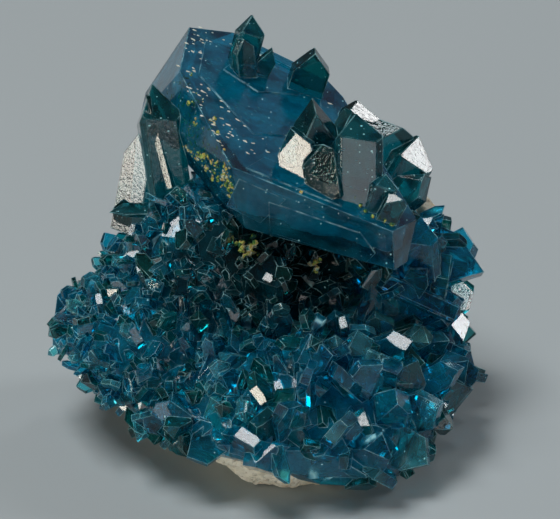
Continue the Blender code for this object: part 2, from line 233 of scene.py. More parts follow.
def face_map(mesh, axis, crystal_number):
    """A UV map in millimetres: V runs along the crystal on each face, and U across it.

    Each crystal's map starts in a square of its own, which its tint is taken from."""
    layer = mesh.uv_layers.get("faces") or mesh.uv_layers.new(name="faces")
    start = MAP_SQUARE * crystal_number + 0.5 * MAP_SQUARE
    for polygon in mesh.polygons:
        along = axis - polygon.normal * axis.dot(polygon.normal)
        if along.length < 0.2:
            along = polygon.normal.orthogonal()
        along.normalize()
        across = polygon.normal.cross(along)
        middle = polygon.center
        for loop in polygon.loop_indices:
            spot = (mesh.vertices[mesh.loops[loop].vertex_index].co - middle) / MM
            lift = middle.dot(along) / MM
            layer.data[loop].uv = (start + spot.dot(across), spot.dot(along) + lift)


MAP_SQUARE = 40.0
EDGE_WEAR = 0.05
unit_crystals = {habit: unit_crystal(habit) for habit in HABITS}


def crystal(habit, root, axis, facing, size, number, worn=EDGE_WEAR):
    """One crystal as its own object. Root and size are in millimetres, in the specimen."""
    obj = copy_of(unit_crystals[habit], f"crystal_{number}")
    place = stance((Vector(root) - SPECIMEN_MIDDLE) * MM, axis, facing)
    stretch = Matrix.Diagonal((*(Vector(size) * MM), 1.0))
    obj.data.transform(place @ stretch)
    face_map(obj.data, Vector(axis).normalized(), number)
    if worn:
        wear = obj.modifiers.new("wear", "BEVEL")
        wear.width = worn * MM
        wear.segments = 1
        wear.limit_method = "ANGLE"
        wear.angle_limit = math.radians(12)
    return obj


# --- the large crystal ---

# Its own frame: +Z is the normal of its broad face, +X runs along its front edge.
TABLET_PLACE = Vector((2.3, 3.2, 29.2))
TABLET_TURN = (5.5, 20.0, -9.0)
TABLET_CORNERS = (
    (-4.1, -10.0), (12.3, -10.0), (14.1, -6.2), (3.4, 10.9),
    (0.8, 13.4), (-9.3, 14.8), (-13.5, 12.4), (-12.4, 3.2),
)
TABLET_RIM_SLOPES = (-8.0, 16.0, 0.0, -8.0, -20.0, 0.0, 13.0, 2.0)
TABLET_THICKNESS = 6.2
TABLET_TAPER = 8.0
TABLET_CORNER_CUT = ((-4.1, -10.0, 0.0), (-0.68, -0.64, -0.45))

GROWN_ON_TABLET = (
    # On the broad face, towards its front.
    ("peak", (5.0, -1.0, 27.6), (-0.1, 0.1, 1.0), (0.1, -1.0, 0.2), (4.2, 3.0, 5.8)),
    ("tablet", (3.1, -3.2, 27.8), (-0.15, 0.3, 1.0), (-0.25, -0.85, 0.4), (3.4, 1.8, 4.0)),
    ("block", (8.6, -4.2, 26.0), (0.0, 0.25, 1.0), (0.1, -1.0, 0.3), (4.6, 2.6, 6.8)),
    ("wedge", (5.6, -4.6, 27.0), (-0.2, 0.2, 1.0), (-0.3, -0.9, 0.2), (3.4, 2.2, 3.8)),
    ("tablet", (7.4, 0.3, 27.0), (0.1, 0.2, 1.0), (0.4, -0.9, 0.0), (3.4, 2.2, 5.0)),
    ("block", (10.4, -5.4, 25.2), (0.3, 0.0, 1.0), (0.2, -1.0, 0.0), (2.4, 1.6, 3.0)),
    ("wedge", (11.4, -6.4, 24.8), (0.5, -0.2, 1.0), (0.0, -1.0, 0.0), (2.0, 1.4, 2.2)),
    # On the broad face, at its back edge.
    ("block", (-2.6, 12.6, 32.6), (0.25, 0.0, 1.0), (0.2, -1.0, 0.0), (2.6, 2.2, 4.6)),
    ("blade", (-2.2, 11.2, 32.2), (-0.1, -0.1, 1.0), (0.5, -0.8, 0.1), (2.0, 1.2, 3.6)),
    ("tablet", (-0.9, 12.0, 31.8), (0.5, 0.0, 1.0), (0.2, -1.0, 0.2), (1.7, 0.9, 2.8)),
    ("tablet", (3.6, 12.2, 30.2), (0.3, 0.0, 1.0), (0.1, -1.0, 0.2), (3.6, 2.2, 3.8)),
    # Down its right side.
    ("block", (8.4, 9.5, 25.6), (0.2, 0.1, 1.0), (0.2, -1.0, 0.1), (4.0, 3.2, 3.6)),
    ("wedge", (10.8, 7.5, 23.6), (0.3, 0.0, 1.0), (0.3, -1.0, 0.2), (4.4, 3.4, 4.6)),
    ("block", (11.8, 6.0, 21.2), (0.55, 0.0, 1.0), (0.3, -1.0, 0.3), (4.2, 3.6, 6.0)),
    ("tablet", (12.2, 3.8, 21.6), (0.75, 0.0, 0.6), (-0.2, -0.7, 0.7), (3.2, 2.2, 4.0)),
    # On its left end.
    ("block", (-9.8, 5.6, 22.5), (-0.12, 0.15, 1.0), (0.15, -1.0, 0.2), (4.2, 4.2, 9.0)),
    ("wedge", (-12.2, 6.2, 19.8), (0.09, 0.19, 1.0), (-0.75, -0.65, 0.0), (4.2, 3.8, 8.4)),
    ("tablet", (-9.6, 4.8, 20.2), (-1.0, 0.0, 0.0), (0.1, -0.2, 1.0), (4.6, 1.8, 5.0)),
    ("block", (-10.2, 2.8, 21.4), (-1.0, -0.06, 0.0), (0.0, -0.1, 1.0), (2.3, 0.45, 4.7)),
    ("tablet", (-9.8, 3.9, 25.0), (-0.25, 0.33, 0.93), (-0.24, -0.93, 0.27), (0.6, 1.6, 6.8)),
)

tablet_turn = Euler([math.radians(angle) for angle in TABLET_TURN]).to_matrix()
tablet_frame = (
    Matrix.Translation((TABLET_PLACE - SPECIMEN_MIDDLE) * MM) @ tablet_turn.to_4x4()
)


def tablet_planes(inset=0.0):
    """The large crystal's faces in its own frame and in metres, moved in by inset."""
    planes = [(Vector((0, 0, 0)), Vector((0, 0, 1)))]
    taper = math.radians(TABLET_TAPER)
    below = Vector((math.sin(taper), 0, -math.cos(taper)))
    planes.append((Vector((0, 0, -TABLET_THICKNESS)) * MM, below))
    for index, slope in enumerate(TABLET_RIM_SLOPES):
        start = Vector((*TABLET_CORNERS[index], 0))
        end = Vector((*TABLET_CORNERS[(index + 1) % len(TABLET_CORNERS)], 0))
        outward = (end - start).cross(Vector((0, 0, 1))).normalized()
        lean = math.radians(slope)
        normal = outward * math.cos(lean) + Vector((0, 0, math.sin(lean)))
        planes.append((start * MM, normal))
    point, normal = TABLET_CORNER_CUT
    planes.append((Vector(point) * MM, Vector(normal).normalized()))
    return [(point - normal * inset * MM, normal) for point, normal in planes]


# Growth plates a tenth of a millimetre high: corners anticlockwise, and height. The first
# lie on the broad face, the others on the front face, measured from its upper edge.
BROAD_PLATES = (
    (((-10.6, 4.0), (-3.4, -2.8), (3.0, 1.6), (1.2, 9.4), (-7.6, 12.4), (-11.4, 10.6)), 0.13),
    (((-8.6, 6.6), (-4.6, 5.0), (-0.6, 7.6), (-2.6, 10.6), (-7.4, 11.2)), 0.24),
    (((-2.8, -9.3), (7.0, -9.3), (4.6, -6.6), (-1.6, -6.2)), 0.12),
    (((5.0, 4.0), (9.6, -2.6), (11.4, -3.2), (6.0, 6.4)), 0.12),
    (((-6.4, 12.9), (-1.6, 11.9), (-0.6, 12.8), (-6.8, 13.8)), 0.22),
)
FRONT_PLATES = (
    (((1.6, -5.6), (11.2, -4.6), (11.6, -3.2), (9.6, -1.6), (0.4, -2.2)), 0.10),
    (((-3.2, -4.6), (0.4, -5.0), (1.8, -1.2), (-3.0, -1.0)), 0.08),
)


def plate(corners, height, face_frame):
    """A thin plate with worn edges on a face, its edges parallel to how it grew."""
    up = Vector((0, 0, 1))
    planes = [(up * height * MM, up), (up * -0.6 * MM, -up)]
    for index, corner in enumerate(corners):
        start = Vector((*corner, 0))
        end = Vector((*corners[(index + 1) % len(corners)], 0))
        planes.append((start * MM, (end - start).cross(up).normalized()))
    obj = cut_solid("growth_plate", 20 * MM, planes, 0.03 * MM)
    settle(obj, face_frame)
    face_map(obj.data, face_frame.to_3x3() @ Vector((1, 0, 0)), 0)
    return obj


def growth_plates():
    lean = math.radians(90.0 - TABLET_RIM_SLOPES[0])
    front = Matrix.Translation(Vector((0, -10.0, 0)) * MM) @ Matrix.Rotation(lean, 4, "X")
    plates = [plate(corners, height, tablet_frame) for corners, height in BROAD_PLATES]
    plates += [plate(corners, height, tablet_frame @ front) for corners, height in FRONT_PLATES]
    return plates


def make_large_crystal():
    tablet = cut_solid("large_crystal_faces", 40 * MM, tablet_planes(), 0.07 * MM)
    settle(tablet, tablet_frame)
    face_map(tablet.data, tablet_turn @ Vector((1, 0, 0)), 0)
    grown = [
        crystal(*row, number=number + 1, worn=0.06)
        for number, row in enumerate(GROWN_ON_TABLET)
    ]
    join_solids(tablet, grown + growth_plates())
    return tablet


def make_cloudy_core():
    """The milky middle of the large crystal, which its colour is seen against."""
    core = cut_solid("cloudy_core", 40 * MM, tablet_planes(CORE_INSET), 0.0)
    settle(core, tablet_frame)
    remesh = core.modifiers.new("even", "REMESH")
    remesh.mode = "VOXEL"
    remesh.voxel_size = 0.45 * MM
    texture = bpy.data.textures.new("clouds", "CLOUDS")
    texture.noise_scale = 3.0 * MM
    texture.noise_depth = 2
    push = core.modifiers.new("uneven", "DISPLACE")
    push.texture = texture
    push.texture_coords = "GLOBAL"
    push.strength = 1.4 * MM
    push.mid_level = 0.75
    apply_modifiers(core)
    take(core)
    bpy.ops.object.shade_smooth()
    return core


CORE_INSET = 1.0


# --- crumbs ---

# Clots of pale and yellow-green crumbs in the hollow under the large crystal: where, and
# how wide.
CLOTS = (
    ((-2.7, -2.8, 20.1), 1.0), ((-2.1, -2.9, 19.6), 1.1), ((-1.5, -2.6, 20.2), 0.8),
    ((-1.1, -2.8, 19.0), 0.7), ((-1.7, -2.0, 20.5), 0.8), ((-2.3, -3.6, 19.1), 0.8),
    ((4.3, -1.4, 17.3), 0.7), ((4.7, -2.0, 17.1), 0.6), ((4.9, -1.1, 17.5), 0.6),
    ((-7.4, 4.4, 32.0), 0.5), ((-7.0, 2.4, 30.7), 0.45), ((-6.1, -0.1, 28.2), 0.55),
)
# On the broad face, in the large crystal's own frame.
SINGLE_CRUMBS = (
    ((-7.4, -2.9), 0.45), ((-7.2, -3.8), 0.4), ((3.5, 3.9), 0.35), ((9.9, -2.6), 0.35),
    ((8.6, -7.9), 0.4), ((9.3, -8.5), 0.5), ((10.0, -8.8), 0.45), ((10.6, -8.4), 0.4),
    ((11.2, -8.8), 0.5), ((12.0, -8.9), 0.4), ((2.9, -9.7), 0.35), ((7.8, -6.8), 0.3),
)
CRUMB_SEED = 3


def crumb_shapes():
    """Four small lumps, each modelled once and then copied."""
    shapes = []
    for number in range(4):
        deselect()
        bpy.ops.mesh.primitive_ico_sphere_add(subdivisions=1, radius=0.6)
        obj = bpy.context.object
        texture = bpy.data.textures.new(f"crumb_{number}", "CLOUDS")
        texture.noise_scale = 0.4
        push = obj.modifiers.new("lumpy", "DISPLACE")
        push.texture = texture
        push.texture_coords = "GLOBAL"
        push.strength = 1.2
        obj.location = (3.0 * number, 0, 0)
        apply_modifiers(obj)
        obj.location = (0, 0, 0)
        shapes.append(obj)
    return shapes


def crumb(shapes, spot, size, rng, flat=1.0, streak=None):
    """A lump of a size in metres at a spot, turned at random."""
    obj = copy_of(rng.choice(shapes), "crumb")
    turn = Euler([rng.uniform(0, 6.28) for _ in range(3)]).to_matrix().to_4x4()
    squash = Matrix.Diagonal((size, size * rng.uniform(0.5, 1.0), size * flat, 1.0))
    if streak is not None:
        turn = streak @ Matrix.Rotation(rng.uniform(-0.5, 0.2), 4, "Z")
        squash = Matrix.Diagonal((size * rng.uniform(1.0, 2.2), size * 0.6, size * 0.5, 1.0))
    settle(obj, Matrix.Translation(spot) @ turn @ squash)
    return obj


def make_crumbs():
    """Crumbs of rock on the large crystal: a dusting, a stained edge and a few clots."""
    rng = random.Random(CRUMB_SEED)
    shapes = crumb_shapes()
    dust = []
    stain = []
    while len(dust) < 190:
        x = rng.uniform(-13.0, 4.0)
        y = rng.uniform(-7.0, 13.5)
        rim = (x + 13.0) * 0.8 + (y - 2.0) * 0.55
        if rim < 0.6 or rng.random() < min(0.92, (x + 12.0) / 15.0):
            continue
        size = rng.uniform(0.12, 0.3)
        place = tablet_frame @ (Vector((x, y, 0.02)) * MM)
        dust.append(crumb(shapes, place, size * MM, rng, streak=tablet_turn.to_4x4()))
    for (x, y), size in SINGLE_CRUMBS:
        stain.append(crumb(shapes, tablet_frame @ (Vector((x, y, 0.05)) * MM), size * MM, rng))
    start = Vector((-12.6, 5.0, 0))
    end = Vector((-4.1, -10.0, 0))
    outward = Vector((-13.2, -8.3, 0)).normalized()
    cut_spot, cut_normal = (Vector(part) for part in TABLET_CORNER_CUT)
    cut_normal.normalize()
    while len(stain) < 330:
        along = start.lerp(end, rng.random() ** 0.8)
        depth = rng.uniform(-0.3, 6.0)
        if rng.random() > 0.25 + 0.75 * math.exp(-((depth - 3.2) / 1.6) ** 2):
            continue
        if depth < 0:
            spot = along + outward * depth * 2
        else:
            spot = along - Vector((0, 0, depth)) - outward * 0.03
        beyond = (spot - cut_spot).dot(cut_normal)
        if beyond > 0:
            spot -= cut_normal * (beyond + 0.03)
        size = 0.14 + 0.42 * rng.random() ** 2
        stain.append(crumb(shapes, tablet_frame @ (spot * MM), size * MM, rng, 0.6))
    for spot, size in CLOTS:
        for _ in range(5):
            stray = Vector((rng.uniform(-1, 1), rng.uniform(-1, 1), rng.uniform(-1, 1))) * 0.35
            place = (Vector(spot) + stray - SPECIMEN_MIDDLE) * MM
            stain.append(crumb(shapes, place, size * rng.uniform(0.4, 0.8) * MM, rng))
    remove(shapes)
    return joined(dust, "pale_dust"), joined(stain, "stained_crumbs")


def joined(objects, name):
    """Several objects made one, without joining their shapes."""
    deselect()
    for obj in objects:
        obj.select_set(True)
    bpy.context.view_layer.objects.active = objects[0]
    bpy.ops.object.join()
    objects[0].name = name
    return objects[0]


# --- the crust ---

# Tries, seed, lowest and highest root, and size against the others: the crust, then its foot.
FINE_GROWTH = ((7000, 31, 3.5, 40.0, 1.0), (5000, 7, 0.7, 4.2, 0.62))
FINE_SPACING = 0.8
FINE_HEIGHT = 2.2


def make_crust():
    crust = merged_copy("druse_crust", "crust_faces")
    edit_all(crust)
    bpy.ops.mesh.dissolve_limited(angle_limit=math.radians(0.5))
    leave_edit()
    layer = crust.data.uv_layers.new(name="faces")
    crust.data.uv_layers.active = layer
    face_map(crust.data, Vector((0.1, -0.3, 1.0)).normalized(), 30)
    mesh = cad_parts["druse_crust"].data
    mesh.calc_loop_triangles()
    triangles = [t for t in mesh.loop_triangles]
    weights = [t.area for t in triangles]
    middle = Vector((0.0, 1.0, 9.0))
    rock_tree = BVHTree.FromObject(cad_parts["host_rock"], bpy.context.evaluated_depsgraph_get())
    roots = []
    grown = []
    for tries, seed, lowest_root, highest_root, scale in FINE_GROWTH:
        rng = random.Random(seed)
        for triangle in rng.choices(triangles, weights, k=tries):
            low, high = sorted((rng.random(), rng.random()))
            first, second, third = (mesh.vertices[i].co for i in triangle.vertices)
            spot = first * low + second * (high - low) + third * (1.0 - high)
            spot = spot / MM + SPECIMEN_MIDDLE
            outward = (spot - middle).normalized()
            normal = triangle.normal
            if normal.dot(outward) < 0.1 or not lowest_root <= spot.z <= highest_root or spot.y > 13.0:
                continue
            coarse = min(1.0, max(0.0, 0.6 + 0.035 * spot.x - 0.07 * (spot.z - 7.0)))
            height = rock_tree.find_nearest((spot - SPECIMEN_MIDDLE) * MM)[3] / MM
            if height > FINE_HEIGHT + 3.5 * (1.0 - coarse):
                continue
            size = 1.6 + 2.7 * coarse
            size *= rng.uniform(0.6, 1.25) * scale
            if any((spot - other).length < FINE_SPACING * (size + far) * 0.5 for other, far in roots):
                continue
            across = normal.orthogonal().normalized()
            other = normal.cross(across)
            heading = rng.uniform(0, 2 * math.pi)
            sideways = across * math.cos(heading) + other * math.sin(heading)
            stray = Vector((rng.uniform(-1, 1), rng.uniform(-1, 1), rng.uniform(-1, 1)))
            lying = rng.random() < 0.35
            if lying:
                habit = rng.choice(("tablet", "blade", "tablet", "wedge"))
                axis = sideways + outward * rng.uniform(0.1, 0.6)
                facing = outward + stray * 0.45
                sink = 0.12
            else:
                habit = rng.choice(("blade", "tablet", "tablet", "block"))
                axis = normal * 0.6 + outward * 0.5 + sideways * rng.uniform(0.3, 1.1)
                facing = stray
                sink = 0.18
            dims = [part * size for part in PROPORTIONS[habit]]
            root = spot - outward * (sink * size)
            obj = crystal(habit, root, axis, facing, dims, 31 + len(grown) % 60, worn=0.0)
            lowest = min(vert.co.z for vert in obj.data.vertices) / MM
            if inside_tablet(obj) or lowest < 0.1 or (lowest < 3.8 and -7.5 < spot.x < 6.5 and spot.y < 3):
                bpy.data.objects.remove(obj)
                continue
            roots.append((spot, size))
            grown.append(obj)
    join_solids(crust, grown)
    return crust


def inside_tablet(obj):
    """Whether a crystal reaches into the room of the large crystal or what grows on it."""
    for planes in large_rooms:
        for vert in obj.data.vertices:
            if all((vert.co - point).dot(normal) < 0.35 * MM for point, normal in planes):
                return True
    return False


def rooms():
    """The planes of the large crystal and of each crystal grown on it, in the world."""
    found = []
    turn = tablet_frame.to_3x3()
    found.append([(tablet_frame @ point, turn @ normal) for point, normal in tablet_planes()])
    for habit, root, axis, facing, size in GROWN_ON_TABLET:
        place = stance((Vector(root) - SPECIMEN_MIDDLE) * MM, axis, facing)
        turn = place.to_3x3()
        planes = []
        for normal, distance in HABITS[habit]:
            unit = Vector(normal).normalized()
            spot = Vector(unit[i] * distance * size[i] for i in range(3)) * MM
            way = Vector(unit[i] / size[i] for i in range(3)).normalized()
            planes.append((place @ spot, turn @ way))
        planes.append((place @ Vector((0, 0, -ROOT_DEPTH * size[2] * MM)), turn @ Vector((0, 0, -1))))
        found.append(planes)
    return found


large_rooms = rooms()


# --- the rock ---


def make_rock():
    rock = merged_copy("host_rock", "rock_surface")
    remesh = rock.modifiers.new("grain", "REMESH")
    remesh.mode = "VOXEL"
    remesh.voxel_size = 0.32 * MM
    for name, size, strength in (("lumps", 3.0, 0.8), ("grains", 1.0, 0.5), ("crumbs", 0.4, 0.2)):
        texture = bpy.data.textures.new(name, "CLOUDS")
        texture.noise_scale = size * MM
        texture.noise_depth = 2
        push = rock.modifiers.new(name, "DISPLACE")
        push.texture = texture
        push.texture_coords = "GLOBAL"
        push.direction = "NORMAL"
        push.strength = strength * MM
        push.mid_level = 0.62
    apply_modifiers(rock)
    edit_all(rock)
    cut_flat((0, 0, 0.00005), (0, 0, -1))
    leave_edit()
    return rock


# --- materials ---


def linear(code):
    """An sRGB hex colour as linear values."""
    parts = [int(code[i:i + 2], 16) / 255 for i in (1, 3, 5)]
    return tuple(c / 12.92 if c <= 0.04045 else ((c + 0.055) / 1.055) ** 2.4 for c in parts) + (1.0,)


def add(tree, kind, links=(), **settings):
    """Adds a node: its settings by name, its values and links by socket name or number."""
    node = tree.nodes.new(kind)
    values = settings.pop("values", {})
    for name, value in settings.items():
        setattr(node, name, value)
    for socket, value in values.items():
        node.inputs[socket].default_value = value
    for socket, source in dict(links).items():
        tree.links.new(source, node.inputs[socket])
    return node


def ramp(node, *stops):
    """Sets a colour ramp's stops, each a place and an sRGB hex colour."""
    elements = node.color_ramp.elements
    while len(elements) < len(stops):
        elements.new(0.5)
    for element, (place, code) in zip(elements, stops):
        element.position = place
        element.color = linear(code)
    return node


def blank_material(name):
    material = bpy.data.materials.new(name)
    material.use_nodes = True
    tree = material.node_tree
    shader = tree.nodes["Principled BSDF"]
    output = tree.nodes["Material Output"]
    return material, tree, shader, output


# How pale the worn edges are painted: a painted highlight along them.
EDGE_HIGHLIGHT_PAINT = 0.9
# Middle and reach, in metres, of the painted shade in the hollow under the large crystal.
SHADE_PAINT_MIDDLE = (0.0, 0.001, 0.0175)
SHADE_PAINT_REACH = (0.0150, 0.0100, 0.0075)


def crystal_material(name, absorption, density, first_tint, tints, grain, dusty, milk):
    """Clear coloured crystal: glassy faces with fine growth lines, worn edges that are rougher and painted pale as a
    painted highlight, and painted shade in the hollow under the large crystal.

    Grain is how strongly fine dimples mottle the faces, dusty how much of them is specked
    with pale dust, and milk how cloudy the crystal is in patches."""
    material, tree, shader, output = blank_material(name)
    place = add(tree, "ShaderNodeTexCoord")
    uv = add(tree, "ShaderNodeUVMap", uv_map="faces")
    # Growth lines a fraction of a millimetre apart, drawn out along each crystal.
    stretched = add(tree, "ShaderNodeMapping", {"Vector": uv.outputs["UV"]}, values={"Scale": (3.2, 0.22, 1.0)})
    lines = add(tree, "ShaderNodeTexNoise", {"Vector": stretched.outputs["Vector"]},
                values={"Scale": 1.0, "Detail": 4.0, "Roughness": 0.65})
    waves = add(tree, "ShaderNodeTexNoise", {"Vector": place.outputs["Object"]},
                values={"Scale": 420.0, "Detail": 2.0, "Roughness": 0.5})
    pits = add(tree, "ShaderNodeTexNoise", {"Vector": place.outputs["Object"]},
               values={"Scale": 2600.0, "Detail": 2.0, "Roughness": 0.6})
    # Worn edges: rougher where rounded, and painted pale in broken stretches as a painted highlight.
    rounded = add(tree, "ShaderNodeBevel", samples=4, values={"Radius": 0.00011})
    surface = add(tree, "ShaderNodeNewGeometry")
    agree = add(tree, "ShaderNodeVectorMath", {0: rounded.outputs["Normal"], 1: surface.outputs["True Normal"]},
                operation="DOT_PRODUCT")
    worn = add(tree, "ShaderNodeMapRange", {"Value": agree.outputs["Value"]},
               values={"From Min": 0.995, "From Max": 0.94, "To Min": 0.0, "To Max": 1.0})
    chips = add(tree, "ShaderNodeTexNoise", {"Vector": place.outputs["Object"]},
                values={"Scale": 900.0, "Detail": 2.0, "Roughness": 0.6})
    broken = add(tree, "ShaderNodeMapRange", {"Value": chips.outputs["Fac"]},
                 values={"From Min": 0.40, "From Max": 0.62, "To Min": 0.0, "To Max": EDGE_HIGHLIGHT_PAINT})
    worn_edge_highlight = add(tree, "ShaderNodeMath", {0: worn.outputs["Result"], 1: broken.outputs["Result"]}, operation="MULTIPLY")
    # Specks of dust 0.1 to 0.3 mm long, in streaks along each crystal.
    strewn = add(tree, "ShaderNodeMapping", {"Vector": uv.outputs["UV"]}, values={"Scale": (1.7, 2.6, 1.0)})
    cells = add(tree, "ShaderNodeTexVoronoi", {"Vector": strewn.outputs["Vector"]}, values={"Scale": 1.0})
    chosen = add(tree, "ShaderNodeSeparateColor", {"Color": cells.outputs["Color"]})
    reach = add(tree, "ShaderNodeMapRange", {"Value": chosen.outputs[0]},
                values={"From Min": 1.0 - dusty, "From Max": 1.0, "To Min": 0.0, "To Max": 0.24})
    near = add(tree, "ShaderNodeMath", {0: reach.outputs["Result"], 1: cells.outputs["Distance"]},
               operation="SUBTRACT")
    speck = add(tree, "ShaderNodeMapRange", {"Value": near.outputs["Value"]},
                values={"From Min": 0.0, "From Max": 0.05, "To Min": 0.0, "To Max": 0.9})
    # This mask joins real dust specks and the painted edge highlight: both turn pale and less clear.
    dust = add(tree, "ShaderNodeMath", {0: worn_edge_highlight.outputs["Value"], 1: speck.outputs["Result"]}, operation="MAXIMUM")
    cloudy = add(tree, "ShaderNodeMapRange", {"Value": waves.outputs["Fac"]},
                 values={"From Min": 0.36, "From Max": 0.64, "To Min": 1.0 - 0.3 * milk, "To Max": 1.0 - 1.7 * milk})
    clear = add(tree, "ShaderNodeMath", {0: cloudy.outputs["Result"], 1: dust.outputs["Value"]}, operation="SUBTRACT")
    tree.links.new(clear.outputs["Value"], shader.inputs["Transmission Weight"])
    dimples = add(tree, "ShaderNodeTexNoise", {"Vector": place.outputs["Object"]},
                  values={"Scale": 3200.0, "Detail": 2.0, "Roughness": 0.6})
    plain = add(tree, "ShaderNodeMath", {0: lines.outputs["Fac"], 1: waves.outputs["Fac"]}, operation="ADD")
    both = add(tree, "ShaderNodeMath", {0: dimples.outputs["Fac"], 2: plain.outputs["Value"]},
               operation="MULTIPLY_ADD", values={1: grain})
    bump = add(tree, "ShaderNodeBump", {"Height": both.outputs["Value"], "Normal": rounded.outputs["Normal"]},
               values={"Strength": 0.2, "Distance": 0.00004})
    tree.links.new(bump.outputs["Normal"], shader.inputs["Normal"])
    rough = add(tree, "ShaderNodeMapRange", {"Value": pits.outputs["Fac"]},
                values={"From Min": 0.5, "From Max": 0.8, "To Min": 0.015, "To Max": 0.12})
    worn_rough = add(tree, "ShaderNodeMath", {0: worn.outputs["Result"], 2: rough.outputs["Result"]},
                     operation="MULTIPLY_ADD", values={1: 0.4})
    tree.links.new(worn_rough.outputs["Value"], shader.inputs["Roughness"])
    split = add(tree, "ShaderNodeSeparateXYZ", {"Vector": uv.outputs["UV"]})
    square = add(tree, "ShaderNodeMath", {0: split.outputs["X"]}, operation="DIVIDE", values={1: MAP_SQUARE})
    number = add(tree, "ShaderNodeMath", {0: square.outputs["Value"]}, operation="FLOOR")
    chance = add(tree, "ShaderNodeTexWhiteNoise", {"W": number.outputs["Value"]}, noise_dimensions="1D")
    tint = ramp(add(tree, "ShaderNodeValToRGB", {"Fac": chance.outputs["Value"]}), *tints)
    is_first = add(tree, "ShaderNodeMath", {0: number.outputs["Value"]}, operation="LESS_THAN", values={1: 0.5})
    mixed = add(tree, "ShaderNodeMix", data_type="RGBA")
    tree.links.new(is_first.outputs["Value"], mixed.inputs["Factor"])
    tree.links.new(tint.outputs["Color"], mixed.inputs[6])
    mixed.inputs[7].default_value = linear(first_tint)
    # Painted shade: the crystals are coloured darker and greener towards the middle of the hollow under the large
    # crystal, where shade falls.
    about = add(tree, "ShaderNodeVectorMath", {0: place.outputs["Object"]}, operation="SUBTRACT",
                values={1: SHADE_PAINT_MIDDLE})
    even = add(tree, "ShaderNodeVectorMath", {0: about.outputs["Vector"]}, operation="DIVIDE",
               values={1: SHADE_PAINT_REACH})
    offset = add(tree, "ShaderNodeVectorMath", {0: even.outputs["Vector"]}, operation="LENGTH")
    hollow = add(tree, "ShaderNodeMapRange", {"Value": offset.outputs["Value"]},
                 values={"From Min": 0.45, "From Max": 1.0, "To Min": 0.85, "To Max": 0.0})
    shaded = add(tree, "ShaderNodeMix", data_type="RGBA")
    tree.links.new(hollow.outputs["Result"], shaded.inputs["Factor"])
    tree.links.new(mixed.outputs[2], shaded.inputs[6])
    # The dark green of the painted shade.
    shaded.inputs[7].default_value = linear("#06332e")
    # Edges and specks painted pale: real dust on the faces, painted highlight on the edges.
    edged = add(tree, "ShaderNodeMix", data_type="RGBA")
    tree.links.new(dust.outputs["Value"], edged.inputs["Factor"])
    tree.links.new(shaded.outputs[2], edged.inputs[6])
    edged.inputs[7].default_value = linear("#aee4ea")
    tree.links.new(edged.outputs[2], shader.inputs["Base Color"])
    shader.inputs["Metallic"].default_value = 0.0
    shader.inputs["IOR"].default_value = 1.54
    volume = add(tree, "ShaderNodeVolumeAbsorption", values={"Color": absorption, "Density": density})
    tree.links.new(volume.outputs["Volume"], output.inputs["Volume"])
    return material


def rock_material():
    material, tree, shader, output = blank_material("crumbly_weathered_limestone")
    place = add(tree, "ShaderNodeTexCoord")
    patches = add(tree, "ShaderNodeTexNoise", {"Vector": place.outputs["Object"]},
                  values={"Scale": 260.0, "Detail": 5.0, "Roughness": 0.6})
    colour = add(tree, "ShaderNodeValToRGB", {"Fac": patches.outputs["Fac"]})
    ramp(colour, (0.25, "#b0ae9a"), (0.42, "#e6dfc8"), (0.60, "#fbf5e4"), (0.8, "#ccae7c"))
    stains = add(tree, "ShaderNodeTexNoise", {"Vector": place.outputs["Object"]},
                 values={"Scale": 700.0, "Detail": 4.0, "Roughness": 0.7})
    stain_mask = add(tree, "ShaderNodeMapRange", {"Value": stains.outputs["Fac"]},
                     values={"From Min": 0.60, "From Max": 0.78, "To Min": 0.0, "To Max": 0.8})
    mixed = add(tree, "ShaderNodeMix", data_type="RGBA")
    tree.links.new(stain_mask.outputs["Result"], mixed.inputs["Factor"])
    tree.links.new(colour.outputs["Color"], mixed.inputs[6])
    mixed.inputs[7].default_value = linear("#8a6430")
    grains = add(tree, "ShaderNodeTexNoise", {"Vector": place.outputs["Object"]},
                 values={"Scale": 1900.0, "Detail": 4.0, "Roughness": 0.75})
    gaps = add(tree, "ShaderNodeMapRange", {"Value": grains.outputs["Fac"]},
               values={"From Min": 0.34, "From Max": 0.46, "To Min": 0.7, "To Max": 0.0})
    gritty = add(tree, "ShaderNodeMix", data_type="RGBA")
    tree.links.new(gaps.outputs["Result"], gritty.inputs["Factor"])
    tree.links.new(mixed.outputs[2], gritty.inputs[6])
    gritty.inputs[7].default_value = linear("#75664a")
    tree.links.new(gritty.outputs[2], shader.inputs["Base Color"])
    bump = add(tree, "ShaderNodeBump", {"Height": grains.outputs["Fac"]}, values={"Strength": 0.9, "Distance": 0.0003})
    tree.links.new(bump.outputs["Normal"], shader.inputs["Normal"])
    shader.inputs["Roughness"].default_value = 0.9
    return material


def core_material():
    """Milky crystal, clouded by fine fractures: pale, with darker grey-blue patches."""
    material, tree, shader, output = blank_material("milky_fractured_crystal")
    place = add(tree, "ShaderNodeTexCoord")
    clouds = add(tree, "ShaderNodeTexNoise", {"Vector": place.outputs["Object"]},
                 values={"Scale": 230.0, "Detail": 4.0, "Roughness": 0.6})
    colour = ramp(add(tree, "ShaderNodeValToRGB", {"Fac": clouds.outputs["Fac"]}),
                  (0.3, "#5c7480"), (0.5, "#a8bcc4"), (0.7, "#e0e8ec"))
    tree.links.new(colour.outputs["Color"], shader.inputs["Base Color"])
    shader.inputs["Roughness"].default_value = 0.7
    return material


